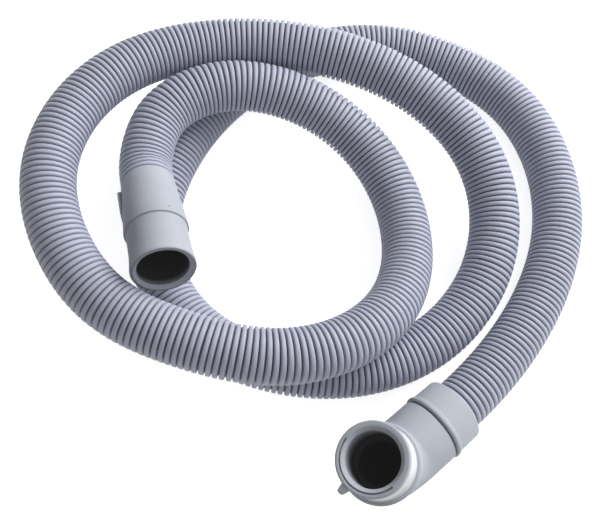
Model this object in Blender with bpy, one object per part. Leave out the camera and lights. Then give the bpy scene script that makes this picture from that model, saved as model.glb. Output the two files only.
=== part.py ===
"""Outlet hose: a ribbed drain hose lying in loops, with a straight cuff and an elbow.

Units are metres, +Z is up and the hose lies on the floor at z = 0.  The hose is a plain
tube here; its ribs are surface detail.
"""
import math

import bmesh
import bpy
import numpy as np
from mathutils import Matrix, Vector

MM = 0.001
ROUND_SEGMENTS = 48
GAP = 0.3 * MM

# Hose
HOSE_OD = 25.0 * MM
HOSE_POINT_COUNT = 78
HOSE_BEVEL_STEPS = 4
HOSE_STRAIGHT_START = 4.0 * MM
CURVE_FINENESS = 20

# The lay is planned in units of a 25th of the hose, so it widens as a thicker hose needs.
LAY_UNITS_ACROSS_HOSE = 25
LAY_UNIT = HOSE_OD / LAY_UNITS_ACROSS_HOSE

# The hose's route between its two fittings, in units of the lay, chosen by hand.
# It runs from the straight cuff to the elbow.
ROUTE = (
    (-85.0, 15.0, 37.5),
    (-82.5, 30.0, 38.0),
    (-66.5, 49.0, 38.5),
    (-27.5, 59.5, 34.5),
    (19.5, 44.5, 22.5),
    (36.0, 26.5, 19.0),
    (44.5, 9.0, 18.5),
    (45.5, -36.0, 28.5),
    (31.5, -60.0, 37.0),
    (-0.5, -79.5, 44.0),
    (-44.0, -81.5, 46.5),
    (-82.5, -71.0, 47.0),
    (-108.5, -47.5, 48.5),
    (-122.5, -17.0, 48.5),
    (-122.0, 17.0, 46.5),
    (-106.0, 50.0, 43.0),
    (-70.0, 77.0, 38.5),
    (-15.0, 87.0, 38.5),
    (44.5, 75.0, 33.5),
    (75.0, 52.0, 27.5),
    (88.5, 25.5, 21.5),
    (88.5, -10.0, 16.0),
    (72.0, -43.0, 12.7),
    (43.0, -66.0, 12.7),
    (-2.0, -76.0, 14.0),
    (-45.0, -65.0, 14.0),
    (-62.0, -50.0, 13.5),
    (-76.0, -21.5, 12.7),
    (-74.5, 28.0, 12.7),
    (-43.0, 84.5, 12.7),
    (-14.5, 106.0, 12.7),
    (19.5, 117.5, 12.7),
    (58.5, 115.0, 12.7),
    (95.5, 96.5, 12.7),
    (113.0, 73.5, 12.7),
    (124.5, 28.0, 12.9),
    (103.0, -47.5, 14.5),
)

# Straight cuff, with places along its axis measured from the mouth
CUFF_MOUTH_AT = Vector((-59.0, -56.0, 55.8)) * LAY_UNIT
CUFF_PLAN_ANGLE = math.radians(113.6)
CUFF_MOUTH_RISE = math.radians(16.9)
CUFF_LENGTH = 53.6 * MM
CUFF_MOUTH_OD = 29.0 * MM
CUFF_NECK_OD = 27.5 * MM
CUFF_STEP_OD = 28.8 * MM
CUFF_TOP_WALL = 3.1 * MM
CUFF_MOUTH_BORE = 22.8 * MM
CUFF_STEP_FROM_MOUTH = 21.9 * MM
CUFF_STEP_RISE = 1.0 * MM
CUFF_FLARE_LENGTH = 9.0 * MM
CUFF_SOCKET_DEPTH = 34.0 * MM
CUFF_LEAD_IN = 1.4 * MM
CUFF_EDGE = 0.4 * MM
PAD_LENGTH = 18.0 * MM
PAD_WIDTH = 9.0 * MM
PAD_FROM_TOP = 2.6 * MM
PAD_FACE_FROM_AXIS = 14.4 * MM
PAD_ROOT_FROM_AXIS = 11.0 * MM

# Elbow fitting, with stations measured from the corner where the two axes meet
ELBOW_CORNER_AT = Vector((53.1, -112.7, 17.7)) * LAY_UNIT
ELBOW_PLAN_ANGLE = math.radians(50.1)
ELBOW_LEG_SLOPE = math.radians(-2.0)
ELBOW_MOUTH_LEAN = math.radians(12.1)
ELBOW_TURN = math.radians(70.0)
ELBOW_BODY_OD = 31.8 * MM
ELBOW_BEND_RADIUS = 20.0 * MM
ELBOW_BEND_STEPS = 9
ELBOW_BORE = 19.0 * MM
LEG_REACH = 42.2 * MM
GROOVE_START = 26.4 * MM
GROOVE_WIDTH = 1.0 * MM
GROOVE_DEPTH = 0.9 * MM
BEAD_WIDTH = 2.2 * MM
BEAD_OD = 33.2 * MM
BEAD_EDGE = 0.5 * MM
SLEEVE_START = 30.8 * MM
SLEEVE_OD = 31.6 * MM
SLEEVE_TAPER = 0.4 * MM
SLEEVE_EDGE = 0.8 * MM
SOCKET_DEPTH = 15.0 * MM
SOCKET_CLEARANCE = 0.8 * MM
MOUTH_REACH = 33.8 * MM
MOUTH_LIP_OD = 31.5 * MM
MOUTH_LIP_WIDTH = 3.0 * MM
MOUTH_COLLAR_OD = 30.9 * MM
MOUTH_BORE = 23.4 * MM
MOUTH_LEAD_IN = 1.6 * MM
MOUTH_SOCKET_DEPTH = 17.0 * MM
FLANGE_OD = 35.0 * MM
FLANGE_WIDTH = 2.5 * MM
FLANGE_FROM_CORNER = 15.9 * MM
FLANGE_EDGE = 0.6 * MM
TAB_WIDTH = 3.6 * MM
TAB_REACH = 3.4 * MM
TAB_DROP = 0.4 * MM
TAB_DEPTH = 2.4 * MM
TAB_TAPER = 0.7 * MM
TAB_ANGLE = math.radians(179.0)

# Half of the bend's length on each axis, and how far the mouth leans back from square
BEND_EASE = ELBOW_BEND_RADIUS * math.tan(ELBOW_TURN / 2)
MOUTH_BACK = math.pi / 2 - ELBOW_TURN

HOSE_GREY = (0.50, 0.52, 0.62, 1.0)
HOSE_ROUGHNESS = 0.45
FITTING_GREY = (0.52, 0.54, 0.62, 1.0)
FITTING_ROUGHNESS = 0.4


def clear_scene():
    """Remove every object that the file holds."""
    for item in list(bpy.data.objects):
        bpy.data.objects.remove(item, do_unlink=True)


def plastic(name, colour, roughness):
    """Return a plain plastic material."""
    material = bpy.data.materials.new(name)
    material.use_nodes = True
    shader = material.node_tree.nodes["Principled BSDF"]
    shader.inputs["Base Color"].default_value = colour
    shader.inputs["Roughness"].default_value = roughness
    shader.inputs["Metallic"].default_value = 0.0
    return material


def along_x(station):
    """Place a circle square to the X axis at a distance from the origin."""
    return Matrix.Translation((station, 0.0, 0.0)) @ Matrix.Rotation(-math.pi / 2, 4, "Y")


def mouth_frame():
    """Turn an upright piece onto the elbow's mouth axis, which leans away from the leg."""
    return Matrix.Rotation(-MOUTH_BACK, 4, "Y")


def along_elbow(station):
    """Place a circle on the elbow's path: up the mouth below 0, along the leg above 0."""
    bend = ELBOW_BEND_RADIUS
    if station >= BEND_EASE:
        return along_x(station)
    if station <= -BEND_EASE:
        return mouth_frame() @ Matrix.Translation((0.0, 0.0, -station))
    angle = MOUTH_BACK + ELBOW_TURN * (station + BEND_EASE) / (2 * BEND_EASE)
    centre = (BEND_EASE - bend * math.cos(angle), 0.0, bend - bend * math.sin(angle))
    return Matrix.Translation(centre) @ Matrix.Rotation(-angle, 4, "Y")


def skin_rings(name, rings, place):
    """Skin a closed chain of circles, given as (station, radius), into a hollow solid."""
    mesh = bpy.data.meshes.new(name)
    solid = bmesh.new()
    circles = []
    for station, radius in rings:
        made = bmesh.ops.create_circle(
            solid, segments=ROUND_SEGMENTS, radius=radius, matrix=place(station))
        circles.append(made["verts"])
    for first, second in zip(circles, circles[1:] + circles[:1]):
        for i in range(ROUND_SEGMENTS):
            ahead = (i + 1) % ROUND_SEGMENTS
            solid.faces.new((first[i], first[ahead], second[ahead], second[i]))
    bmesh.ops.recalc_face_normals(solid, faces=solid.faces[:])
    solid.to_mesh(mesh)
    solid.free()
    made = bpy.data.objects.new(name, mesh)
    bpy.context.scene.collection.objects.link(made)
    return made


def block(name, low, high, taper=0.0):
    """Make a box between two corners; its +X face is narrower by the taper on each side."""
    mesh = bpy.data.meshes.new(name)
    solid = bmesh.new()
    size = Vector(high) - Vector(low)
    middle = (Vector(high) + Vector(low)) / 2
    bmesh.ops.create_cube(solid, size=1.0)
    bmesh.ops.scale(solid, vec=size, verts=solid.verts)
    for corner in solid.verts:
        if corner.co.x > 0:
            corner.co.y -= math.copysign(taper, corner.co.y)
    bmesh.ops.translate(solid, vec=middle, verts=solid.verts)
    solid.to_mesh(mesh)
    solid.free()
    made = bpy.data.objects.new(name, mesh)
    bpy.context.scene.collection.objects.link(made)
    return made


def fuse(target, tool):
    """Join a small moulded feature to its body with a Boolean, and hide the tool."""
    tool.hide_render = True
    tool.display_type = "WIRE"
    tool.parent = target
    union = target.modifiers.new(tool.name, "BOOLEAN")
    union.operation = "UNION"
    union.solver = "EXACT"
    union.object = tool


def straight_cuff(material):
    """Make the straight cuff, mouth at the origin and hose end at +X, then place it."""
    step = CUFF_STEP_FROM_MOUTH
    top = HOSE_OD / 2
    rings = (
        (0.0, CUFF_MOUTH_OD / 2 - CUFF_EDGE),
        (CUFF_EDGE, CUFF_MOUTH_OD / 2),
        (CUFF_FLARE_LENGTH, CUFF_NECK_OD / 2),
        (step, CUFF_NECK_OD / 2),
        (step + CUFF_STEP_RISE, CUFF_STEP_OD / 2),
        (CUFF_LENGTH, top),
        (CUFF_LENGTH, top - CUFF_TOP_WALL),
        (CUFF_SOCKET_DEPTH, top - CUFF_TOP_WALL),
        (CUFF_SOCKET_DEPTH, CUFF_MOUTH_BORE / 2),
        (CUFF_LEAD_IN, CUFF_MOUTH_BORE / 2),
        (0.0, CUFF_MOUTH_BORE / 2 + CUFF_LEAD_IN),
    )
    cuff = skin_rings("straight_cuff", rings, along_x)
    pad_end = CUFF_LENGTH - PAD_FROM_TOP
    pad = block("cuff_pad_tool",
                (pad_end - PAD_LENGTH, PAD_ROOT_FROM_AXIS, -PAD_WIDTH / 2),
                (pad_end, PAD_FACE_FROM_AXIS, PAD_WIDTH / 2))
    fuse(cuff, pad)
    cuff.location = CUFF_MOUTH_AT
    cuff.rotation_euler = (0.0, CUFF_MOUTH_RISE, CUFF_PLAN_ANGLE)
    cuff.data.materials.append(material)
    return cuff


def elbow_outside():
    """List the elbow's outer circles from the mouth's rim to the hose sleeve's edge."""
    lip = MOUTH_LIP_OD / 2
    collar = MOUTH_COLLAR_OD / 2
    body = ELBOW_BODY_OD / 2
    bead = BEAD_OD / 2
    sleeve = SLEEVE_OD / 2
    flange_low = -FLANGE_FROM_CORNER
    flange_high = flange_low - FLANGE_WIDTH
    groove_end = GROOVE_START + GROOVE_WIDTH
    rings = [
        (-MOUTH_REACH, lip - BEAD_EDGE),
        (-MOUTH_REACH + BEAD_EDGE, lip),
        (-MOUTH_REACH + MOUTH_LIP_WIDTH, lip),
        (-MOUTH_REACH + MOUTH_LIP_WIDTH + BEAD_EDGE, collar),
        (flange_high, collar),
        (flange_high, FLANGE_OD / 2 - FLANGE_EDGE),
        (flange_high + FLANGE_EDGE, FLANGE_OD / 2),
        (flange_low - FLANGE_EDGE, FLANGE_OD / 2),
        (flange_low, FLANGE_OD / 2 - FLANGE_EDGE),
        (flange_low, body),
    ]
    rings += [(BEND_EASE * (2 * i / ELBOW_BEND_STEPS - 1), body)
              for i in range(ELBOW_BEND_STEPS + 1)]
    rings += [
        (GROOVE_START, body),
        (GROOVE_START, body - GROOVE_DEPTH),
        (groove_end, body - GROOVE_DEPTH),
        (groove_end, bead - BEAD_EDGE),
        (groove_end + BEAD_EDGE, bead),
        (groove_end + BEAD_WIDTH, bead),
        (SLEEVE_START, sleeve),
        (LEG_REACH - SLEEVE_EDGE, sleeve - SLEEVE_TAPER / 2),
        (LEG_REACH, sleeve - SLEEVE_TAPER / 2 - SLEEVE_EDGE),
    ]
    return rings


def elbow_inside():
    """List the elbow's inner circles from the hose socket back to the mouth's rim."""
    socket = HOSE_OD / 2 + SOCKET_CLEARANCE / 2
    bore = ELBOW_BORE / 2
    rings = [
        (LEG_REACH, socket),
        (LEG_REACH - SOCKET_DEPTH, socket),
        (LEG_REACH - SOCKET_DEPTH, bore),
    ]
    rings += [(BEND_EASE * (1 - 2 * i / ELBOW_BEND_STEPS), bore)
              for i in range(ELBOW_BEND_STEPS + 1)]
    rings += [
        (-MOUTH_REACH + MOUTH_SOCKET_DEPTH, bore),
        (-MOUTH_REACH + MOUTH_SOCKET_DEPTH, MOUTH_BORE / 2),
        (-MOUTH_REACH + MOUTH_LEAD_IN, MOUTH_BORE / 2),
        (-MOUTH_REACH, MOUTH_BORE / 2 + MOUTH_LEAD_IN),
    ]
    return rings


def elbow_fitting(material):
    """Make the elbow, hose leg along +X and mouth leaning back from +Z, then place it."""
    elbow = skin_rings("elbow_fitting", elbow_outside() + elbow_inside(), along_elbow)
    lip = MOUTH_LIP_OD / 2
    wall_middle = (lip + MOUTH_BORE / 2 + MOUTH_LEAD_IN) / 2
    tab = block("mouth_tab_tool",
                (wall_middle, -TAB_WIDTH / 2, MOUTH_REACH - TAB_DROP - TAB_DEPTH),
                (lip + TAB_REACH, TAB_WIDTH / 2, MOUTH_REACH - TAB_DROP), TAB_TAPER)
    fuse(elbow, tab)
    tab.matrix_basis = mouth_frame() @ Matrix.Rotation(TAB_ANGLE, 4, "Z")
    elbow.location = ELBOW_CORNER_AT
    elbow.rotation_euler = (-ELBOW_MOUTH_LEAN, -ELBOW_LEG_SLOPE, ELBOW_PLAN_ANGLE)
    elbow.data.materials.append(material)
    return elbow


def turned_axis(item):
    """Return the direction of a placed fitting's own X axis."""
    return item.rotation_euler.to_matrix() @ Vector((1.0, 0.0, 0.0))


def smooth_curve(points, first_tangent, last_tangent, count):
    """Read evenly spaced points from a cubic spline through the route's own points."""
    knots = np.array([tuple(point) for point in points])
    spans = np.linalg.norm(np.diff(knots, axis=0), axis=1)
    chords = np.diff(knots, axis=0) / spans[:, None]
    size = len(knots)
    system = np.zeros((size, size))
    target = np.zeros((size, 3))
    system[0, :2] = 2 * spans[0], spans[0]
    target[0] = 6 * (chords[0] - np.array(first_tangent))
    system[-1, -2:] = spans[-1], 2 * spans[-1]
    target[-1] = 6 * (np.array(last_tangent) - chords[-1])
    for i in range(1, size - 1):
        system[i, i - 1:i + 2] = spans[i - 1], 2 * (spans[i - 1] + spans[i]), spans[i]
        target[i] = 6 * (chords[i] - chords[i - 1])
    bends = np.linalg.solve(system, target)
    marks = np.concatenate([[0.0], np.cumsum(spans)])
    fine = np.linspace(0.0, marks[-1], count * CURVE_FINENESS)
    piece = np.clip(np.searchsorted(marks, fine, side="right") - 1, 0, size - 2)
    near = ((marks[piece + 1] - fine) / spans[piece])[:, None]
    far = 1.0 - near
    curve = near * knots[piece] + far * knots[piece + 1]
    curve += ((near ** 3 - near) * bends[piece]
              + (far ** 3 - far) * bends[piece + 1]) * (spans[piece] ** 2)[:, None] / 6
    run = np.concatenate([[0.0], np.cumsum(np.linalg.norm(np.diff(curve, axis=0), axis=1))])
    even = np.linspace(0.0, run[-1], count)
    return np.column_stack([np.interp(even, run, curve[:, k]) for k in range(3)])


def hose(cuff, elbow, material):
    """Lay the hose's plain tube from the cuff's top face to the bottom of the elbow's socket."""
    cuff_axis = turned_axis(cuff)
    leg_axis = turned_axis(elbow)
    start = cuff.location + cuff_axis * (CUFF_LENGTH + GAP)
    first_turn = start + cuff_axis * HOSE_STRAIGHT_START
    entry = elbow.location + leg_axis * LEG_REACH
    end = elbow.location + leg_axis * (LEG_REACH - SOCKET_DEPTH + GAP)
    route = [first_turn] + [Vector(point) * LAY_UNIT for point in ROUTE] + [entry]
    tube = smooth_curve(route, cuff_axis, -leg_axis, HOSE_POINT_COUNT - 2)
    tube = np.vstack([start, tube, end])

    path = bpy.data.curves.new("hose", "CURVE")
    path.dimensions = "3D"
    path.bevel_depth = HOSE_OD / 2
    path.bevel_resolution = HOSE_BEVEL_STEPS
    path.render_resolution_u = 0
    path.use_fill_caps = True
    line = path.splines.new("POLY")
    line.points.add(len(tube) - 1)
    for point, place in zip(line.points, tube):
        point.co = (*place, 1.0)
    path.materials.append(material)
    made = bpy.data.objects.new("hose", path)
    bpy.context.scene.collection.objects.link(made)
    return made


def build():
    """Build the whole outlet hose."""
    clear_scene()
    hose_plastic = plastic("hose_plastic", HOSE_GREY, HOSE_ROUGHNESS)
    fitting_plastic = plastic("fitting_plastic", FITTING_GREY, FITTING_ROUGHNESS)
    cuff = straight_cuff(fitting_plastic)
    elbow = elbow_fitting(fitting_plastic)
    hose(cuff, elbow, hose_plastic)


build()
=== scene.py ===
"""Looks of an outlet hose: a ribbed drain hose in loops, with its straight cuff and its elbow.

Sizes are in metres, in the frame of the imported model. The hose keeps the route of its solid.
Each fitting is drawn out of one ring of edges, as it would be by hand.
"""
from __future__ import annotations

import logging
import math
from dataclasses import dataclass
from enum import Enum

import bpy
import numpy as np
from mathutils import Euler, Matrix, Vector

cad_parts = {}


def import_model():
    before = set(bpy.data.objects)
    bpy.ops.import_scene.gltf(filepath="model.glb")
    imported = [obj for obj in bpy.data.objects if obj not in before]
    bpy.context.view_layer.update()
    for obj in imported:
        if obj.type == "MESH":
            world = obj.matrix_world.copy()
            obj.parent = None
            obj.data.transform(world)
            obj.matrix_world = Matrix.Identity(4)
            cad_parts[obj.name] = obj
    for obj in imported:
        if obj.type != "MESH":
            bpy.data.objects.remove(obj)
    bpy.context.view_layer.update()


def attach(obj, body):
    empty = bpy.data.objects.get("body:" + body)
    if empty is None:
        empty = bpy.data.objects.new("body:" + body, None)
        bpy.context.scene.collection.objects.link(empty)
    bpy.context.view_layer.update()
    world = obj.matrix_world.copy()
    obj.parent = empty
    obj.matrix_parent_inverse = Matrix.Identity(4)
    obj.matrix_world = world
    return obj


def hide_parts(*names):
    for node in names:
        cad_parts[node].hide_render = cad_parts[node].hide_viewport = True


LOG = logging.getLogger("outlet_hose")
MM = 0.001
BODY = "root"
WHITE = (1.0, 1.0, 1.0, 1.0)

# Steps of a wall: how far along the axis each lies, and how far out.
Profile = tuple[tuple[float, float], ...]

# The middle of the cuff's mouth, the corner of the elbow's two axes and the camera's place.
CUFF_MOUTH_AT = (-0.0590, -0.0560, 0.0558)
ELBOW_CORNER_AT = (0.0531, -0.1127, 0.0177)
CAMERA_AT = (-0.0025, -0.1795, 0.3750)

HOSE_OD = 25.0 * MM

# The attribute that holds the painted shade, as the share of each point's colour left, and the
# least share of it.
PAINTED_SHADE = "painted_shade"
DEEP_SHADE = 0.06

# Rings down a mouth's bore, as shares of the depth at which the painted shade down the bore is
# darkest.
BORE_RINGS = (1.0, 0.6, 0.3)

# How near a point or a face has to lie to a radius or a height to belong to it.
SKIN_SLACK = 0.05 * MM
WALL_SLACK = 0.1 * MM
LEVEL_SLACK = 0.01 * MM

WELD_UNDER = 0.001 * MM
SMOOTH_UNDER = math.radians(40.0)

# Places along one rib and how deep its skin lies there, both as shares.
RIB_PROFILE = ((0.05, 1.0), (0.17, 0.13), (0.30, 0.0), (0.70, 0.0), (0.83, 0.13), (0.95, 1.0))

# The hose's route between its fittings, from the cuff to the elbow.
ROUTE = (
    (-0.0850, 0.0150, 0.0375),
    (-0.0825, 0.0300, 0.0380),
    (-0.0665, 0.0490, 0.0385),
    (-0.0275, 0.0595, 0.0345),
    (0.0195, 0.0445, 0.0225),
    (0.0360, 0.0265, 0.0190),
    (0.0445, 0.0090, 0.0185),
    (0.0455, -0.0360, 0.0285),
    (0.0315, -0.0600, 0.0370),
    (-0.0005, -0.0795, 0.0440),
    (-0.0440, -0.0815, 0.0465),
    (-0.0825, -0.0710, 0.0470),
    (-0.1085, -0.0475, 0.0485),
    (-0.1225, -0.0170, 0.0485),
    (-0.1220, 0.0170, 0.0465),
    (-0.1060, 0.0500, 0.0430),
    (-0.0700, 0.0770, 0.0385),
    (-0.0150, 0.0870, 0.0385),
    (0.0445, 0.0750, 0.0335),
    (0.0750, 0.0520, 0.0275),
    (0.0885, 0.0255, 0.0215),
    (0.0885, -0.0100, 0.0160),
    (0.0720, -0.0430, 0.0127),
    (0.0430, -0.0660, 0.0127),
    (-0.0020, -0.0760, 0.0140),
    (-0.0450, -0.0650, 0.0140),
    (-0.0620, -0.0500, 0.0135),
    (-0.0760, -0.0215, 0.0127),
    (-0.0745, 0.0280, 0.0127),
    (-0.0430, 0.0845, 0.0127),
    (-0.0145, 0.1060, 0.0127),
    (0.0195, 0.1175, 0.0127),
    (0.0585, 0.1150, 0.0127),
    (0.0955, 0.0965, 0.0127),
    (0.1130, 0.0735, 0.0127),
    (0.1245, 0.0280, 0.0129),
    (0.1030, -0.0475, 0.0145),
)


class Slot(Enum):
    """The record's material slots."""

    HOSE = "hose_plastic"
    FITTING = "fitting_plastic"


def new_group(name: str, inputs: dict[str, float], outputs: dict[str, str]) -> bpy.types.NodeTree:
    """Start a shader node group.

    Args:
        name: the group's name.
        inputs: each number that the group takes, with its usual value.
        outputs: each thing that the group puts out, with its kind of socket.

    Returns:
        The group, which holds its input node and its output node.
    """
    group = bpy.data.node_groups.new(name, "ShaderNodeTree")
    for label, usual in inputs.items():
        socket = group.interface.new_socket(label, in_out="INPUT", socket_type="NodeSocketFloat")
        socket.default_value = usual
    for label, kind in outputs.items():
        group.interface.new_socket(label, in_out="OUTPUT", socket_type=kind)
    group.nodes.new("NodeGroupInput")
    group.nodes.new("NodeGroupOutput")
    return group


def noise(tree: bpy.types.NodeTree, scale: float, detail: float) -> bpy.types.Node:
    """Add a noise that follows the piece.

    Args:
        tree: the node tree that gets the noise.
        scale: cells in a metre.
        detail: how many finer layers lie over the first.

    Returns:
        The noise node, fed with the piece's own coordinates.
    """
    place = tree.nodes.new("ShaderNodeTexCoord")
    made = tree.nodes.new("ShaderNodeTexNoise")
    made.inputs["Scale"].default_value = scale
    made.inputs["Detail"].default_value = detail
    tree.links.new(place.outputs["Object"], made.inputs["Vector"])
    return made


def remap(tree: bpy.types.NodeTree, source: bpy.types.NodeSocket, old: tuple[float, float],
          new: tuple[float, float]) -> bpy.types.NodeSocket:
    """Bring a value from one range into another.

    Args:
        tree: the node tree.
        source: the value's socket.
        old: the range that it comes in.
        new: the range that it leaves in.

    Returns:
        The socket with the new value.
    """
    made = tree.nodes.new("ShaderNodeMapRange")
    tree.links.new(source, made.inputs["Value"])
    for label, number in zip(("From Min", "From Max", "To Min", "To Max"), old + new):
        made.inputs[label].default_value = number
    return made.outputs["Result"]


@dataclass(frozen=True)
class MouldGrain:
    """The faint grain and clouding of moulded plastic, as one shader node group."""

    grain_per_metre: float = 900.0
    grain_detail: float = 3.0
    cloud_per_metre: float = 45.0
    cloud_detail: float = 4.0
    noise_range: tuple[float, float] = (0.3, 0.7)
    roughness_sway: float = 0.08

    def group(self) -> bpy.types.NodeTree:
        """Build the group, once for every finish that uses it.

        Returns:
            The group, which puts out the grain's height, the clouding and the roughness.
        """
        made = bpy.data.node_groups.get("mould_grain")
        if made:
            return made
        made = new_group("mould_grain", {"Roughness": 0.4, "Clouding": 0.05},
                         {"Height": "NodeSocketFloat", "Cloud": "NodeSocketFloat",
                          "Roughness": "NodeSocketFloat"})
        given = made.nodes["Group Input"]
        sent = made.nodes["Group Output"]
        grain = noise(made, self.grain_per_metre, self.grain_detail)
        cloud = noise(made, self.cloud_per_metre, self.cloud_detail)
        spread = made.nodes.new("ShaderNodeMath")
        spread.operation = "MULTIPLY"
        centred = remap(made, cloud.outputs["Fac"], self.noise_range, (-1.0, 1.0))
        made.links.new(centred, spread.inputs[0])
        made.links.new(given.outputs["Clouding"], spread.inputs[1])
        shift = made.nodes.new("ShaderNodeMath")
        shift.operation = "MULTIPLY_ADD"
        shift.inputs[1].default_value = self.roughness_sway
        ripple = remap(made, grain.outputs["Fac"], self.noise_range, (-1.0, 1.0))
        made.links.new(ripple, shift.inputs[0])
        made.links.new(given.outputs["Roughness"], shift.inputs[2])
        made.links.new(grain.outputs["Fac"], sent.inputs["Height"])
        made.links.new(spread.outputs[0], sent.inputs["Cloud"])
        made.links.new(shift.outputs[0], sent.inputs["Roughness"])
        return made


@dataclass(frozen=True)
class MouldedPlastic:
    """A satin moulded plastic, darkened by painted shade where its attribute says so.

    Deep in the hollows it glows faintly, a painted light that stands for the dim light there.
    """

    name: str
    colour: tuple[float, float, float]
    roughness: float
    gloss: float
    # A faint painted glow, as emission strength, where the painted shade is darkest.
    painted_bore_glow: float = 0.008
    clouding: float = 0.04
    grain_height: float = 0.02 * MM

    def material(self) -> bpy.types.Material:
        """Build the material, once.

        Returns:
            The material, which reads each point's painted shade and glows faintly where it is
            darkest.
        """
        made = bpy.data.materials.get(self.name)
        if made:
            return made
        made = bpy.data.materials.new(self.name)
        made.use_nodes = True
        tree = made.node_tree
        shader = tree.nodes["Principled BSDF"]
        skin = tree.nodes.new("ShaderNodeGroup")
        skin.node_tree = MouldGrain().group()
        skin.inputs["Roughness"].default_value = self.roughness
        skin.inputs["Clouding"].default_value = self.clouding
        tree.links.new(skin.outputs["Roughness"], shader.inputs["Roughness"])
        shader.inputs["Specular IOR Level"].default_value = self.gloss

        bump = tree.nodes.new("ShaderNodeBump")
        bump.inputs["Distance"].default_value = self.grain_height
        tree.links.new(skin.outputs["Height"], bump.inputs["Height"])
        tree.links.new(bump.outputs["Normal"], shader.inputs["Normal"])

        tone = tree.nodes.new("ShaderNodeHueSaturation")
        tone.inputs["Color"].default_value = (*self.colour, 1.0)
        lift = tree.nodes.new("ShaderNodeMath")
        lift.operation = "ADD"
        lift.inputs[1].default_value = 1.0
        tree.links.new(skin.outputs["Cloud"], lift.inputs[0])
        # Painted shade: the attribute darkens the colour, and a faint painted glow lights the
        # darkest parts.
        shade_share = tree.nodes.new("ShaderNodeAttribute")
        shade_share.attribute_name = PAINTED_SHADE
        darker = tree.nodes.new("ShaderNodeMath")
        darker.operation = "MULTIPLY"
        tree.links.new(lift.outputs[0], darker.inputs[0])
        tree.links.new(shade_share.outputs["Fac"], darker.inputs[1])
        tree.links.new(darker.outputs[0], tone.inputs["Value"])
        tree.links.new(tone.outputs["Color"], shader.inputs["Base Color"])
        painted_glow = remap(tree, shade_share.outputs["Fac"], (0.0, 1.0), (self.painted_bore_glow, 0.0))
        tree.links.new(painted_glow, shader.inputs["Emission Strength"])
        shader.inputs["Emission Color"].default_value = WHITE
        return made


HOSE_PLASTIC = MouldedPlastic("ribbed_hose_plastic", colour=(0.43, 0.445, 0.55),
                              roughness=0.50, gloss=0.3)
FITTING_PLASTIC = MouldedPlastic("soft_fitting_plastic", colour=(0.43, 0.45, 0.50),
                                 roughness=0.62, gloss=0.2)
COLLAR_PLASTIC = MouldedPlastic("pale_collar_plastic", colour=(0.72, 0.74, 0.78),
                                roughness=0.5, gloss=0.25)


class RingDrawing:
    """A hollow fitting drawn out of one ring of edges with Blender's edit mode tools."""

    def __init__(self, name: str, segments: int, station: float, radius: float) -> None:
        """Add the first ring, square to the fitting's own Z axis.

        Args:
            name: the piece's name.
            segments: edges round the ring.
            station: the ring's height on the axis.
            radius: the ring's radius.
        """
        bpy.ops.object.select_all(action="DESELECT")
        bpy.ops.mesh.primitive_circle_add(vertices=segments, radius=radius,
                                          location=(0.0, 0.0, station))
        self.piece = bpy.context.object
        self.piece.name = name
        self.piece.data.name = name
        bpy.ops.object.transform_apply(location=True, rotation=False, scale=False)
        bpy.ops.object.mode_set(mode="EDIT")
        bpy.ops.mesh.select_all(action="SELECT")
        self.direction = Vector((0.0, 0.0, 1.0))
        self.station = station
        self.radius = radius

    def centre(self) -> Vector:
        """Return the middle of the ring that is selected."""
        return self.direction * self.station

    def draw(self, station: float, radius: float) -> None:
        """Extrude the ring to a place on the axis and give it a radius there.

        Args:
            station: the new ring's place on the axis.
            radius: the new ring's radius.
        """
        bpy.ops.mesh.extrude_edges_indiv()
        step = self.direction * (station - self.station)
        if step.length > 0.0:
            bpy.ops.transform.translate(value=step)
        self.station = station
        grow = radius / self.radius
        if grow != 1.0:
            bpy.ops.transform.resize(value=(grow, grow, grow), center_override=self.centre())
        self.radius = radius

    def follow(self, rings: list[tuple[float, float]]) -> None:
        """Draw the ring through a list of places and radii."""
        for station, radius in rings:
            self.draw(station, radius)

    def turn(self, centre: Vector, angle: float, steps: int, onto: Vector) -> None:
        """Spin the ring round a bend, onto another axis through the corner.

        Args:
            centre: the middle of the bend.
            angle: how far the ring goes round.
            steps: rings in the bend.
            onto: the direction of the axis that the ring ends on, as far from the corner.
        """
        bpy.ops.mesh.spin(steps=steps, angle=angle, center=centre, axis=(0.0, 1.0, 0.0))
        self.direction = onto

    def close(self) -> None:
        """Weld the last ring onto the first and point the faces outwards."""
        bpy.ops.mesh.select_all(action="SELECT")
        bpy.ops.mesh.remove_doubles(threshold=WELD_UNDER)
        bpy.ops.mesh.normals_make_consistent(inside=False)
        bpy.ops.mesh.select_all(action="DESELECT")
        bpy.ops.object.mode_set(mode="OBJECT")


def wall(along: float, radius: float, steps: Profile) -> list[tuple[float, float]]:
    """Place the steps of a wall.

    Args:
        along: the place on the axis that the steps count from.
        radius: the radius that they count from.
        steps: how far along and how far out each step lies.

    Returns:
        Each step's place on the axis and its radius.
    """
    return [(along + onward, radius + outward) for onward, outward in steps]


def soften_edges(piece: bpy.types.Object, width: float, segments: int, angle: float) -> None:
    """Round a piece's sharp edges and shade it smooth.

    Args:
        piece: the piece.
        width: how far the rounding reaches from the edge.
        segments: faces across the rounding.
        angle: the least angle, in degrees, that counts as an edge.
    """
    bpy.ops.object.select_all(action="DESELECT")
    piece.select_set(True)
    bpy.context.view_layer.objects.active = piece
    bevel = piece.modifiers.new("edge", "BEVEL")
    bevel.width = width
    bevel.segments = segments
    bevel.limit_method = "ANGLE"
    bevel.angle_limit = math.radians(angle)
    bpy.ops.object.modifier_apply(modifier=bevel.name)
    bpy.ops.object.shade_smooth_by_angle(angle=SMOOTH_UNDER)


def settle(piece: bpy.types.Object, placement: Matrix) -> None:
    """Move a piece's mesh to its place and leave its object at the origin.

    Args:
        piece: the piece.
        placement: from the fitting's own frame to the model's.
    """
    piece.data.transform(placement)
    piece.matrix_world = Matrix.Identity(4)
    piece.data.update()


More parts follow.
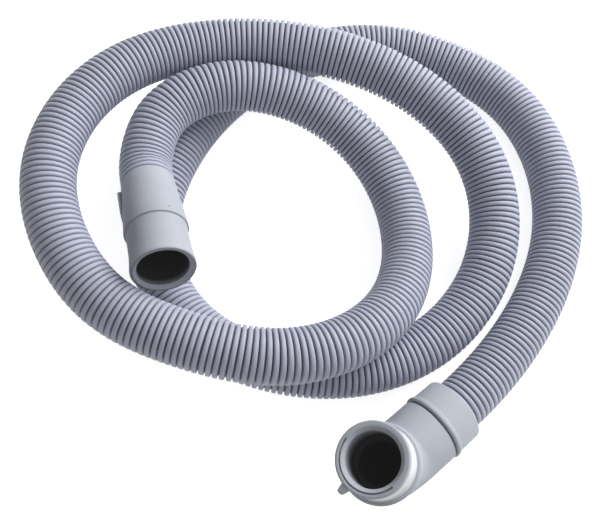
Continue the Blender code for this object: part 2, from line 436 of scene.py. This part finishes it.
def mark_painted_shade(piece: bpy.types.Object, shares: list[float] | np.ndarray) -> None:
    """Keep with each of a piece's points its painted shade, as the share of its colour left.

    Args:
        piece: the piece.
        shares: one share a point, from 0 to 1.
    """
    kept = piece.data.attributes.new(PAINTED_SHADE, "FLOAT", "POINT")
    kept.data.foreach_set("value", np.array(shares, dtype=np.float32))


def bore_share(depth: float, fade: float) -> float:
    """Return the share of colour left by the painted shade at a depth below a mouth.

    Args:
        depth: the depth.
        fade: the depth at which next to none is left.

    Returns:
        The share, from DEEP_SHADE to 1.
    """
    return max(DEEP_SHADE, 1.0 - (1.0 - DEEP_SHADE) * min(1.0, max(0.0, depth) / fade))


def hand_over(piece: bpy.types.Object, slot: Slot, *nodes: str) -> None:
    """Tie a finished piece to the model, and let it stand for CAD nodes.

    Args:
        piece: the piece.
        slot: the record's material slot; not used.
        nodes: the CAD nodes that it replaces.
    """
    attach(piece, BODY)
    if nodes:
        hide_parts(*nodes)
    LOG.info("%s: %d faces", piece.name, len(piece.data.polygons))


@dataclass
class StraightCuff:
    """The straight end: a soft sleeve with a waisted neck, a step and an oblong pad.

    Its own frame has the mouth at the origin and the hose up +Z.
    """

    mouth_at: Vector
    plan_angle: float = math.radians(113.6)
    mouth_rise: float = math.radians(16.9)
    length: float = 53.6 * MM
    mouth_od: float = 29.0 * MM
    neck_od: float = 27.5 * MM
    step_od: float = 29.2 * MM
    step_from_mouth: float = 21.9 * MM
    bore: float = 22.8 * MM
    lead_in: float = 1.4 * MM
    # How far down the lead-in starts, as a share of how far it opens.
    lead_in_start: float = 1.3
    socket_depth: float = 34.0 * MM
    top_wall: float = 3.1 * MM
    rim_flat: float = 0.3 * MM
    mouth_flare: Profile = ((0.0, -0.9 * MM), (0.25 * MM, -0.3 * MM), (0.8 * MM, -0.05 * MM),
                            (2.2 * MM, -0.1 * MM))
    neck_fall: Profile = ((5.0 * MM, 0.35 * MM), (9.0 * MM, 0.05 * MM), (15.0 * MM, -0.05 * MM))
    step_foot: Profile = ((-0.3 * MM, 0.0), (0.0, 0.1 * MM))
    step_slope: float = 0.15 * MM
    step_round: float = 0.2 * MM
    # How far past the step each ring lies, and its share of the way to the top's radius.
    sleeve_fall: Profile = ((1.0 * MM, 0.0), (10.0 * MM, 0.30), (20.0 * MM, 0.66))
    top_edge: Profile = ((-0.5 * MM, 0.0), (0.0, -0.4 * MM))
    pad_length: float = 18.0 * MM
    pad_width: float = 9.0 * MM
    pad_from_top: float = 2.6 * MM
    pad_face: float = 14.4 * MM
    pad_root: float = 11.0 * MM
    # How the pad's face narrows from its root, and the height on the pad that it narrows to.
    pad_draft: tuple[float, float, float] = (0.82, 1.0, 0.78)
    pad_draft_from: float = 5.4 * MM
    pad_border: float = 0.9 * MM
    pad_field_depth: float = 0.3 * MM
    gate_angle: float = math.radians(212.0)
    gate_radius: float = 1.1 * MM
    # How far inside the sleeve's skin the mark's middle lies, as a share of its radius.
    gate_sunk: float = 0.9
    gate_from_mouth: float = 24.9 * MM
    # Painted shade: how deep it fades down the bore, and how much colour it leaves on the rim's
    # face, at the step and on the gate mark.
    bore_fade: float = 4.5 * MM
    rim_shade: float = 0.62
    rim_shade_depth: float = 0.4 * MM
    rim_shade_inset: float = 0.15 * MM
    step_shade: float = 0.72
    step_shade_reach: float = 0.2 * MM
    gate_shade: float = 0.85
    segments: int = 96

    def placement(self) -> Matrix:
        """Return the way from the cuff's own frame to the model's."""
        turn = Euler((0.0, self.mouth_rise, self.plan_angle)).to_matrix().to_4x4()
        return Matrix.Translation(self.mouth_at) @ turn @ Matrix.Rotation(math.pi / 2, 4, "Y")

    def axis(self) -> Vector:
        """Return the direction from the mouth to the hose."""
        return (self.placement().to_3x3() @ Vector((0.0, 0.0, 1.0))).normalized()

    def hose_start(self) -> Vector:
        """Return the middle of the face that the hose leaves from."""
        return self.mouth_at + self.axis() * self.length

    def draw_sleeve(self) -> bpy.types.Object:
        """Draw the hollow sleeve from its mouth outside, over the top and back inside.

        Returns:
            The sleeve, in the cuff's own frame.
        """
        rim = self.mouth_od / 2
        neck = self.neck_od / 2
        step = self.step_od / 2
        top = HOSE_OD / 2
        bore = self.bore / 2
        inner = bore + self.lead_in
        at = self.step_from_mouth
        ring = RingDrawing("cuff_sleeve", self.segments, 0.0, inner)
        ring.follow([(0.0, inner + self.rim_flat)])
        ring.follow(wall(0.0, rim, self.mouth_flare))
        ring.follow(wall(0.0, neck, self.neck_fall))
        ring.follow(wall(at, neck, self.step_foot))
        ring.follow([(at + self.step_slope, step - self.step_round)])
        ring.follow([(at + past, step + (top - step) * share) for past, share in self.sleeve_fall])
        ring.follow(wall(self.length, top, self.top_edge))
        ring.follow([
            (self.length, top - self.top_wall),
            (self.socket_depth, top - self.top_wall),
            (self.socket_depth, bore),
        ])
        ring.follow([(self.bore_fade * share, bore) for share in BORE_RINGS])
        ring.follow([(self.lead_in * self.lead_in_start, bore), (0.0, inner)])
        ring.close()
        return ring.piece

    def draw_pad(self) -> bpy.types.Object:
        """Shape the raised oblong pad, with a shallow sunk field, on the sleeve's side.

        Returns:
            The pad, in the cuff's own frame.
        """
        bpy.ops.object.select_all(action="DESELECT")
        low = self.length - self.pad_from_top - self.pad_length
        depth = self.pad_face - self.pad_root
        middle = (0.0, self.pad_root + depth / 2, low + self.pad_length / 2)
        bpy.ops.mesh.primitive_cube_add(size=1.0, location=middle)
        pad = bpy.context.object
        pad.name = pad.data.name = "cuff_pad"
        pad.scale = (self.pad_width, depth, self.pad_length)
        bpy.ops.object.transform_apply(location=True, rotation=False, scale=True)
        for item in list(pad.data.edges) + list(pad.data.vertices):
            item.select = False
        for face in pad.data.polygons:
            if face.normal.y > 0.9:
                face.select = True
                for index in face.vertices:
                    pad.data.vertices[index].select = True
        bpy.ops.object.mode_set(mode="EDIT")
        bpy.ops.mesh.select_mode(type="FACE")
        bpy.ops.transform.resize(value=self.pad_draft,
                                 center_override=(0.0, self.pad_face, low + self.pad_draft_from))
        bpy.ops.mesh.inset(thickness=self.pad_border)
        bpy.ops.mesh.extrude_region_move(
            TRANSFORM_OT_translate={"value": (0.0, -self.pad_field_depth, 0.0)})
        bpy.ops.object.mode_set(mode="OBJECT")
        return pad

    def shape_gate_mark(self) -> bpy.types.Object:
        """Shape the low round mark that the mould's gate leaves just past the step.

        Returns:
            The mark, in the cuff's own frame.
        """
        bpy.ops.object.select_all(action="DESELECT")
        out = self.step_od / 2 - self.gate_radius * self.gate_sunk
        middle = (out * math.cos(self.gate_angle), out * math.sin(self.gate_angle),
                  self.gate_from_mouth)
        bpy.ops.mesh.primitive_uv_sphere_add(segments=24, ring_count=12, radius=self.gate_radius,
                                             location=middle)
        mark = bpy.context.object
        mark.name = mark.data.name = "cuff_gate_mark"
        bpy.ops.object.transform_apply(location=True, rotation=False, scale=False)
        bpy.ops.object.shade_smooth()
        return mark

    def sleeve_share(self, point: Vector) -> float:
        """Return the share of colour left by the painted shade at a point of the sleeve.

        Args:
            point: the point, in the cuff's own frame.

        Returns:
            The share of colour left by the painted shade: little down the bore, and more on the
            rim's face and under the step.
        """
        radius = math.hypot(point.x, point.y)
        if radius < self.bore / 2 + SKIN_SLACK:
            return bore_share(point.z, self.bore_fade)
        rim_inside = self.bore / 2 + self.lead_in + self.rim_shade_inset
        if point.z < self.rim_shade_depth and radius > rim_inside:
            return self.rim_shade
        if abs(point.z - self.step_from_mouth) < self.step_shade_reach:
            return self.step_shade
        return 1.0

    def build(self) -> None:
        """Build the sleeve, its pad and its gate mark, dress them and hand them over."""
        sleeve = self.draw_sleeve()
        soften_edges(sleeve, width=0.2 * MM, segments=2, angle=30.0)
        pad = self.draw_pad()
        soften_edges(pad, width=0.7 * MM, segments=3, angle=25.0)
        mark = self.shape_gate_mark()
        # Painted shade: darker down the bore, on the rim's face, at the step and over the gate
        # mark; none on the pad.
        mark_painted_shade(sleeve, [self.sleeve_share(point.co) for point in sleeve.data.vertices])
        mark_painted_shade(pad, [1.0] * len(pad.data.vertices))
        mark_painted_shade(mark, [self.gate_shade] * len(mark.data.vertices))
        for piece in (sleeve, pad, mark):
            piece.data.materials.clear()
            piece.data.materials.append(FITTING_PLASTIC.material())
            settle(piece, self.placement())
        hand_over(sleeve, Slot.FITTING, "straight_cuff")
        hand_over(pad, Slot.FITTING)
        hand_over(mark, Slot.FITTING)


@dataclass
class ElbowFitting:
    """The bent end: a sleeve over the hose, a bead, a round bend and a collared mouth.

    Its own frame has the corner of the two axes at the origin and the mouth up +Z; the leg to
    the hose leads down towards +X.
    """

    corner_at: Vector
    plan_angle: float = math.radians(50.1)
    leg_slope: float = math.radians(-2.0)
    mouth_lean: float = math.radians(12.1)
    turn: float = math.radians(70.0)
    body_od: float = 31.8 * MM
    bend: float = 20.0 * MM
    bend_steps: int = 16
    bore: float = 19.0 * MM
    leg_reach: float = 42.2 * MM
    groove_start: float = 26.4 * MM
    groove_width: float = 1.0 * MM
    groove_depth: float = 0.9 * MM
    groove_edge: Profile = ((-0.3 * MM, 0.0), (0.0, -0.2 * MM))
    groove_slope: float = 0.1 * MM
    bead_width: float = 2.2 * MM
    bead_od: float = 33.2 * MM
    bead_front: Profile = ((0.0, -0.6 * MM), (0.4 * MM, -0.1 * MM), (0.9 * MM, 0.0))
    bead_back: Profile = ((-0.5 * MM, -0.1 * MM), (0.0, -0.4 * MM))
    sleeve_start: float = 30.8 * MM
    sleeve_od: float = 31.6 * MM
    sleeve_taper: float = 0.4 * MM
    sleeve_edge: Profile = ((-0.9 * MM, 0.0), (-0.25 * MM, -0.3 * MM), (0.0, -0.8 * MM))
    socket_depth: float = 15.0 * MM
    socket_clearance: float = 0.8 * MM
    mouth_reach: float = 33.8 * MM
    lip_od: float = 31.5 * MM
    lip_width: float = 3.0 * MM
    edge_round: float = 0.5 * MM
    collar_od: float = 30.9 * MM
    collar_slope: float = 0.3 * MM
    mouth_bore: float = 23.4 * MM
    mouth_lead_in: float = 1.6 * MM
    mouth_socket: float = 17.0 * MM
    flange_od: float = 35.0 * MM
    flange_width: float = 2.5 * MM
    flange_foot: float = 0.6 * MM
    flange_from_corner: float = 15.9 * MM
    tab_angle: float = math.radians(179.0)
    tab_width: float = 4.6 * MM
    tab_reach: float = 3.4 * MM
    tab_from_lip: float = 1.8 * MM
    # The tab's two pulls: the share of its reach, and how much it narrows there.
    tab_pulls: tuple[tuple[float, tuple[float, float, float]], ...] = (
        (0.72, (0.92, 0.76, 0.92)), (0.28, (1.0, 0.72, 0.85)))
    lip_groove_reach: float = math.radians(82.0)
    lip_groove_width: float = 0.8 * MM
    lip_groove_depth: float = 1.2 * MM
    # Painted shade: how much colour it leaves in the bead's groove, and how deep it fades down the
    # mouth.
    groove_shade: float = 0.45
    bore_fade: float = 15.0 * MM
    segments: int = 96

    def placement(self) -> Matrix:
        """Return the way from the elbow's own frame to the model's."""
        lay = Euler((-self.mouth_lean, -self.leg_slope, self.plan_angle)).to_matrix().to_4x4()
        lean_back = Matrix.Rotation(self.turn - math.pi / 2, 4, "Y")
        return Matrix.Translation(self.corner_at) @ lay @ lean_back

    def leg_line(self) -> Vector:
        """Return the leg's direction from the corner, in the elbow's own frame."""
        return Vector((math.sin(self.turn), 0.0, -math.cos(self.turn)))

    def ease(self) -> float:
        """Return how far from the corner the round bend starts and ends."""
        return self.bend * math.tan(self.turn / 2)

    def leg_axis(self) -> Vector:
        """Return the direction from the corner along the leg to the hose."""
        return (self.placement().to_3x3() @ self.leg_line()).normalized()

    def hose_entry(self) -> Vector:
        """Return the middle of the sleeve's edge, where the hose goes in."""
        return self.corner_at + self.leg_axis() * self.leg_reach

    def draw_shell(self) -> bpy.types.Object:
        """Draw the hollow elbow from its lip outside, round the bend, and back inside.

        Returns:
            The shell, in the elbow's own frame.
        """
        lip = self.lip_od / 2
        collar = self.collar_od / 2
        body = self.body_od / 2
        flange = self.flange_od / 2
        bead = self.bead_od / 2
        sleeve = self.sleeve_od / 2
        foot = sleeve - self.sleeve_taper / 2
        bore = self.bore / 2
        mouth = self.mouth_bore / 2
        inner = mouth + self.mouth_lead_in
        bottom = body - self.groove_depth
        socket = (HOSE_OD + self.socket_clearance) / 2
        top = self.mouth_reach
        under = self.flange_from_corner
        over = under + self.flange_width
        edge = self.leg_reach
        groove = self.groove_start
        ridge = groove + self.groove_width
        bend_middle = Vector((self.bend, 0.0, self.ease()))
        ring = RingDrawing("elbow_shell", self.segments, top, inner)
        ring.follow([
            (top, inner + self.lip_groove_width),
            (top, lip - self.edge_round),
            (top - self.edge_round, lip),
            (top - self.lip_width, lip),
            (top - self.lip_width - self.collar_slope, collar),
            (over + self.collar_slope, collar),
            (over, collar + self.collar_slope),
            (over, flange - self.edge_round),
            (over - self.edge_round, flange),
            (under + self.edge_round, flange),
            (under, flange - self.edge_round),
            (under, body + self.flange_foot),
            (under - self.edge_round, body),
            (self.ease(), body),
        ])
        ring.turn(bend_middle, self.turn, self.bend_steps, self.leg_line())
        ring.follow(wall(groove, body, self.groove_edge))
        ring.follow([(groove + self.groove_slope, bottom), (ridge - self.groove_slope, bottom)])
        ring.follow(wall(ridge, bead, self.bead_front))
        ring.follow(wall(ridge + self.bead_width, bead, self.bead_back))
        ring.follow([(self.sleeve_start, sleeve)])
        ring.follow(wall(edge, foot, self.sleeve_edge))
        ring.follow([
            (edge, socket),
            (edge - self.socket_depth, socket),
            (edge - self.socket_depth, bore),
            (self.ease(), bore),
        ])
        ring.turn(bend_middle, -self.turn, self.bend_steps, Vector((0.0, 0.0, 1.0)))
        ring.follow([(top - self.mouth_socket, bore), (top - self.mouth_socket, mouth)])
        ring.follow([(top - self.bore_fade * share, mouth) for share in BORE_RINGS])
        ring.follow([(top - self.mouth_lead_in, mouth), (top, inner)])
        ring.close()
        return ring.piece

    def around(self, point: Vector) -> float:
        """Return how far round the mouth a point is from the tab, in radians."""
        away = math.atan2(point.y, point.x) - self.tab_angle
        return abs((away + math.pi) % (2 * math.pi) - math.pi)

    def pick_faces(self, shell: bpy.types.Object, wanted: set[int]) -> None:
        """Select some faces of the shell and open it in edit mode.

        Args:
            shell: the elbow's shell.
            wanted: the faces' numbers.
        """
        bpy.ops.object.select_all(action="DESELECT")
        shell.select_set(True)
        bpy.context.view_layer.objects.active = shell
        bpy.ops.object.mode_set(mode="EDIT")
        bpy.ops.mesh.select_mode(type="FACE")
        bpy.ops.mesh.select_all(action="DESELECT")
        bpy.ops.object.mode_set(mode="OBJECT")
        for face in shell.data.polygons:
            face.select = face.index in wanted
        bpy.ops.object.mode_set(mode="EDIT")

    def sink_groove(self, shell: bpy.types.Object) -> None:
        """Sink the narrow groove round the tab's side of the lip's face.

        Args:
            shell: the elbow's shell.
        """
        inner = self.mouth_bore / 2 + self.mouth_lead_in
        wanted = set()
        for face in shell.data.polygons:
            place = face.center
            radius = math.hypot(place.x, place.y)
            on_face = abs(place.z - self.mouth_reach) < LEVEL_SLACK
            on_ring = inner < radius < inner + self.lip_groove_width
            if on_face and on_ring and self.around(place) < self.lip_groove_reach:
                wanted.add(face.index)
        self.pick_faces(shell, wanted)
        bpy.ops.mesh.extrude_region_move(
            TRANSFORM_OT_translate={"value": (0.0, 0.0, -self.lip_groove_depth)})
        bpy.ops.object.mode_set(mode="OBJECT")

    def pull_tab(self, shell: bpy.types.Object) -> None:
        """Pull the small locating tab out of the lip's outer wall.

        Args:
            shell: the elbow's shell.
        """
        lip = self.lip_od / 2
        half = self.tab_width / 2
        low = self.mouth_reach - self.lip_width
        high = self.mouth_reach - self.edge_round
        wanted = set()
        for face in shell.data.polygons:
            place = face.center
            on_wall = abs(math.hypot(place.x, place.y) - lip) < WALL_SLACK
            if on_wall and low < place.z < high and self.around(place) * lip < half:
                wanted.add(face.index)
        self.pick_faces(shell, wanted)
        out = Vector((math.cos(self.tab_angle), math.sin(self.tab_angle), 0.0))
        height = Vector((0.0, 0.0, self.mouth_reach - self.tab_from_lip))
        middle = out * (lip + self.tab_reach) + height
        for share, narrowing in self.tab_pulls:
            bpy.ops.mesh.extrude_region_move(
                TRANSFORM_OT_translate={"value": out * self.tab_reach * share})
            bpy.ops.transform.resize(value=narrowing, center_override=middle)
        bpy.ops.object.mode_set(mode="OBJECT")

    def dress(self, shell: bpy.types.Object) -> None:
        """Give the shell its plastic, with the paler collar between the lip and the flange.

        Args:
            shell: the elbow's shell.
        """
        shell.data.materials.clear()
        shell.data.materials.append(FITTING_PLASTIC.material())
        shell.data.materials.append(COLLAR_PLASTIC.material())
        low = self.flange_from_corner + self.flange_width
        high = self.mouth_reach - self.lip_width
        for face in shell.data.polygons:
            radius = math.hypot(face.center.x, face.center.y)
            if low < face.center.z < high and radius > self.collar_od / 2 - self.collar_slope:
                face.material_index = 1

    def hollow(self, point: Vector) -> bool:
        """Return whether a point lies on the elbow's inside.

        Args:
            point: the point, in the elbow's own frame.

        Returns:
            True on the mouth's bore, in the bend and down the leg.
        """
        along = point.dot(self.leg_line())
        if point.z > self.ease():
            return math.hypot(point.x, point.y) < self.mouth_bore / 2 + SKIN_SLACK
        if along > self.ease():
            room = (HOSE_OD + self.socket_clearance) / 2 + SKIN_SLACK
            return (point - self.leg_line() * along).length < room
        from_middle = math.hypot(point.x - self.bend, point.z - self.ease())
        return math.hypot(from_middle - self.bend, point.y) < self.bore / 2 + SKIN_SLACK

    def shell_share(self, point: Vector) -> float:
        """Return the share of colour left by the painted shade at a point of the shell.

        Args:
            point: the point, in the elbow's own frame.

        Returns:
            The share of colour left by the painted shade: little down the mouth and in the bend,
            and more in the bead's groove.
        """
        if self.hollow(point):
            return bore_share(self.mouth_reach - point.z, self.bore_fade)
        along = point.dot(self.leg_line())
        radius = (point - self.leg_line() * along).length
        past = along - self.groove_start
        if 0.0 < past < self.groove_width and radius < self.body_od / 2 - self.groove_depth / 2:
            return self.groove_shade
        return 1.0

    def shade(self, shell: bpy.types.Object) -> None:
        """Paint shade onto each point of the shell."""
        mark_painted_shade(shell, [self.shell_share(point.co) for point in shell.data.vertices])

    def build(self) -> None:
        """Build the elbow, dress it and hand it over."""
        shell = self.draw_shell()
        self.pull_tab(shell)
        self.sink_groove(shell)
        soften_edges(shell, width=0.2 * MM, segments=2, angle=32.0)
        self.shade(shell)
        self.dress(shell)
        settle(shell, self.placement())
        hand_over(shell, Slot.FITTING, "elbow_fitting")


@dataclass
class RibbedHose:
    """The corrugated hose, hollow, with one closed rib after another along its route."""

    cuff: StraightCuff
    elbow: ElbowFitting
    pitch: float = 2.8 * MM
    groove_depth: float = 1.6 * MM
    # Painted shade in the grooves: the share of colour left at a groove's bottom.
    groove_share: float = 0.22
    wall_radius: float = 10.3 * MM
    joint_gap: float = 0.3 * MM
    straight_start: float = 4.0 * MM
    sides: int = 28
    inner_step: int = 3
    fine_points: int = 6000
    look_along: float = 0.6 * MM
    rib_sway: float = 0.012
    seed: int = 7

    def knots(self) -> tuple[np.ndarray, np.ndarray, np.ndarray]:
        """Return the curve's points and its directions at both ends."""
        first = self.cuff.hose_start() + self.cuff.axis() * (self.joint_gap + self.straight_start)
        points = np.array([tuple(first), *ROUTE, tuple(self.elbow.hose_entry())])
        return points, np.array(self.cuff.axis()), -np.array(self.elbow.leg_axis())

    def smooth_line(self) -> np.ndarray:
        """Read close points from a cubic curve through the route, with its straight ends.

        Returns:
            The points, from the cuff's end face to the bottom of the elbow's socket.
        """
        knots, first, last = self.knots()
        spans = np.linalg.norm(np.diff(knots, axis=0), axis=1)
        chords = np.diff(knots, axis=0) / spans[:, None]
        size = len(knots)
        system = np.zeros((size, size))
        target = np.zeros((size, 3))
        system[0, :2] = 2 * spans[0], spans[0]
        target[0] = 6 * (chords[0] - first)
        system[-1, -2:] = spans[-1], 2 * spans[-1]
        target[-1] = 6 * (last - chords[-1])
        for i in range(1, size - 1):
            system[i, i - 1:i + 2] = spans[i - 1], 2 * (spans[i - 1] + spans[i]), spans[i]
            target[i] = 6 * (chords[i] - chords[i - 1])
        bends = np.linalg.solve(system, target)
        marks = np.concatenate([[0.0], np.cumsum(spans)])
        fine = np.linspace(0.0, marks[-1], self.fine_points)
        piece = np.clip(np.searchsorted(marks, fine, side="right") - 1, 0, size - 2)
        near = ((marks[piece + 1] - fine) / spans[piece])[:, None]
        far = 1.0 - near
        curve = near * knots[piece] + far * knots[piece + 1]
        curve += ((near ** 3 - near) * bends[piece]
                  + (far ** 3 - far) * bends[piece + 1]) * (spans[piece] ** 2)[:, None] / 6
        start = self.cuff.hose_start() + self.cuff.axis() * self.joint_gap
        inside = self.elbow.socket_depth - self.joint_gap
        end = self.elbow.hose_entry() - self.elbow.leg_axis() * inside
        return np.vstack([np.array(start), curve, np.array(end)])

    def stations(self) -> tuple[np.ndarray, np.ndarray, np.ndarray, np.ndarray]:
        """Space the rings of every rib along the hose.

        Returns:
            Each ring's middle, direction, radius and height on its rib.
        """
        line = self.smooth_line()
        run = np.concatenate([[0.0], np.cumsum(np.linalg.norm(np.diff(line, axis=0), axis=1))])
        ribs = int(round(run[-1] / self.pitch))
        pitch = run[-1] / ribs
        crest = HOSE_OD / 2
        random = np.random.default_rng(self.seed)
        at, drop = [0.0], [1.0]
        for rib in range(ribs):
            sway = random.normal(0.0, self.rib_sway, 2)
            for share, depth in RIB_PROFILE:
                at.append((rib + share + sway[0]) * pitch)
                drop.append(depth * (1.0 + sway[1]))
        at.append(run[-1])
        drop.append(1.0)
        at = np.array(at)
        drop = np.array(drop)
        middle = np.column_stack([np.interp(at, run, line[:, k]) for k in range(3)])
        reach = self.look_along
        ahead = np.column_stack([np.interp(at + reach, run, line[:, k]) for k in range(3)])
        behind = np.column_stack([np.interp(at - reach, run, line[:, k]) for k in range(3)])
        along = ahead - behind
        along /= np.linalg.norm(along, axis=1)[:, None]
        return middle, along, crest - self.groove_depth * drop, 1.0 - drop

    def sections(self, middle: np.ndarray, along: np.ndarray) -> tuple[np.ndarray, np.ndarray]:
        """Carry two cross directions along the hose without twist.

        Args:
            middle: each ring's middle.
            along: each ring's direction.

        Returns:
            The two cross directions of every ring.
        """
        side = np.zeros_like(middle)
        first = np.cross(along[0], (0.0, 0.0, 1.0))
        side[0] = first / np.linalg.norm(first)
        for i in range(1, len(middle)):
            turned = side[i - 1] - along[i] * np.dot(side[i - 1], along[i])
            side[i] = turned / np.linalg.norm(turned)
        return side, np.cross(along, side)

    def build(self) -> None:
        middle, along, radius, height = self.stations()
        side, up = self.sections(middle, along)
        angles = np.arange(self.sides) / self.sides * 2 * math.pi
        around = (np.cos(angles)[None, :, None] * side[:, None, :]
                  + np.sin(angles)[None, :, None] * up[:, None, :])
        outer = middle[:, None, :] + around * radius[:, None, None]
        ribs = np.arange(len(middle) - 1, -1, -len(RIB_PROFILE) * self.inner_step)
        if ribs[-1] != 0:
            ribs = np.append(ribs, 0)
        inner = middle[ribs][:, None, :] + around[ribs] * self.wall_radius
        verts = np.concatenate([outer, inner]).reshape(-1, 3)
        rings = len(verts) // self.sides
        lower = np.arange(rings)[:, None] * self.sides + np.arange(self.sides)[None, :]
        upper = np.roll(lower, -1, axis=0)
        faces = np.stack([lower, np.roll(lower, -1, axis=1), np.roll(upper, -1, axis=1), upper],
                         axis=2).reshape(-1, 4)
        mesh = bpy.data.meshes.new("ribbed_hose")
        mesh.from_pydata(verts.tolist(), [], faces.tolist())
        mesh.update()
        hose = bpy.data.objects.new("ribbed_hose", mesh)
        # Painted shade: darker towards each groove's bottom, and dark all over the inner skin.
        shares = self.groove_share + (1.0 - self.groove_share) * height
        shares = np.concatenate([shares, np.full(len(ribs), DEEP_SHADE)]).repeat(self.sides)
        mark_painted_shade(hose, shares)
        bpy.context.scene.collection.objects.link(hose)
        mesh.materials.append(HOSE_PLASTIC.material())
        mesh.shade_smooth()
        hand_over(hose, Slot.HOSE, "hose")
        tuple(self.cuff.hose_start())


@dataclass
class PhotoCamera:
    """The camera, at the photograph's viewing angle."""

    place: Vector
    down_angle: float = math.radians(66.4)
    roll: float = math.radians(11.0)
    lens: float = 48.0
    sensor: float = 36.0
    nearest: float = 0.01

    def build(self) -> None:
        """Make the camera and set it as the scene's."""
        data = bpy.data.cameras.new("photo_camera")
        data.lens = self.lens
        data.sensor_width = self.sensor
        data.clip_start = self.nearest
        camera = bpy.data.objects.new("photo_camera", data)
        tilt = Matrix.Rotation(math.pi / 2 - self.down_angle, 4, "X")
        camera.matrix_world = (Matrix.Translation(self.place) @ tilt
                               @ Matrix.Rotation(self.roll, 4, "Z"))
        bpy.context.scene.collection.objects.link(camera)
        bpy.context.scene.camera = camera


@dataclass
class Studio:
    """A pale floor, a soft sky and one large soft lamp behind on the right."""

    floor_size: float = 3.0
    floor_colour: float = 0.88
    floor_roughness: float = 0.9
    floor_glow: float = 0.80
    sky_low: float = 0.50
    sky_high: float = 0.62
    sky_left: float = 0.15
    sky_right: float = 1.38
    lamp_watts: float = 19.5
    lamp_size: float = 0.9
    lamp_at: tuple[float, float, float] = (0.66, 0.84, 0.76)

    def floor(self) -> None:
        """Lay the floor; seen by the camera it glows a little, so that it comes out white."""
        bpy.ops.object.select_all(action="DESELECT")
        bpy.ops.mesh.primitive_plane_add(size=self.floor_size, location=(0.0, 0.0, 0.0))
        floor = bpy.context.object
        floor.name = "studio_floor"
        material = bpy.data.materials.new("studio_floor")
        material.use_nodes = True
        tree = material.node_tree
        shader = tree.nodes["Principled BSDF"]
        shader.inputs["Base Color"].default_value = (self.floor_colour,) * 3 + (1.0,)
        shader.inputs["Roughness"].default_value = self.floor_roughness
        shader.inputs["Specular IOR Level"].default_value = 0.0
        path = tree.nodes.new("ShaderNodeLightPath")
        seen = tree.nodes.new("ShaderNodeMath")
        seen.operation = "MAXIMUM"
        tree.links.new(path.outputs["Is Camera Ray"], seen.inputs[0])
        tree.links.new(path.outputs["Is Glossy Ray"], seen.inputs[1])
        glow = tree.nodes.new("ShaderNodeMath")
        glow.operation = "MULTIPLY"
        glow.inputs[1].default_value = self.floor_glow
        tree.links.new(seen.outputs[0], glow.inputs[0])
        shader.inputs["Emission Color"].default_value = WHITE
        tree.links.new(glow.outputs[0], shader.inputs["Emission Strength"])
        floor.data.materials.append(material)

    def sky(self) -> None:
        """Light the scene from all round, brighter overhead and on the right."""
        world = bpy.data.worlds.new("studio_sky")
        world.use_nodes = True
        bpy.context.scene.world = world
        tree = world.node_tree
        background = tree.nodes["Background"]
        place = tree.nodes.new("ShaderNodeTexCoord")
        split = tree.nodes.new("ShaderNodeSeparateXYZ")
        tree.links.new(place.outputs["Generated"], split.inputs["Vector"])
        light = tree.nodes.new("ShaderNodeMath")
        light.operation = "MULTIPLY"
        upward = remap(tree, split.outputs["Z"], (0.0, 1.0), (self.sky_low, self.sky_high))
        across = remap(tree, split.outputs["X"], (-1.0, 1.0), (self.sky_left, self.sky_right))
        tree.links.new(upward, light.inputs[0])
        tree.links.new(across, light.inputs[1])
        path = tree.nodes.new("ShaderNodeLightPath")
        mix = tree.nodes.new("ShaderNodeMix")
        tree.links.new(path.outputs["Is Camera Ray"], mix.inputs["Factor"])
        tree.links.new(light.outputs[0], mix.inputs["A"])
        mix.inputs["B"].default_value = 1.0
        tree.links.new(mix.outputs["Result"], background.inputs["Strength"])
        background.inputs["Color"].default_value = WHITE

    def lamp(self) -> None:
        """Hang the large soft lamp, aimed at the hose."""
        data = bpy.data.lights.new("soft_lamp", "AREA")
        data.shape = "DISK"
        data.size = self.lamp_size
        data.energy = self.lamp_watts
        lamp = bpy.data.objects.new("soft_lamp", data)
        place = Vector(self.lamp_at)
        lamp.matrix_world = (Matrix.Translation(place)
                             @ (-place).to_track_quat("-Z", "Y").to_matrix().to_4x4())
        bpy.context.scene.collection.objects.link(lamp)

    def build(self) -> None:
        """Build the floor, the sky and the lamp."""
        self.floor()
        self.sky()
        self.lamp()
        bpy.context.scene.view_settings.view_transform = "Standard"


def main() -> None:
    """Build the fittings, the hose, the studio and the camera."""
    logging.basicConfig(level=logging.INFO, format="%(name)s: %(message)s")
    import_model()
    cuff = StraightCuff(mouth_at=Vector(CUFF_MOUTH_AT))
    elbow = ElbowFitting(corner_at=Vector(ELBOW_CORNER_AT))
    cuff.build()
    elbow.build()
    RibbedHose(cuff, elbow).build()
    Studio().build()
    PhotoCamera(place=Vector(CAMERA_AT)).build()


if __name__ == "__main__":
    main()
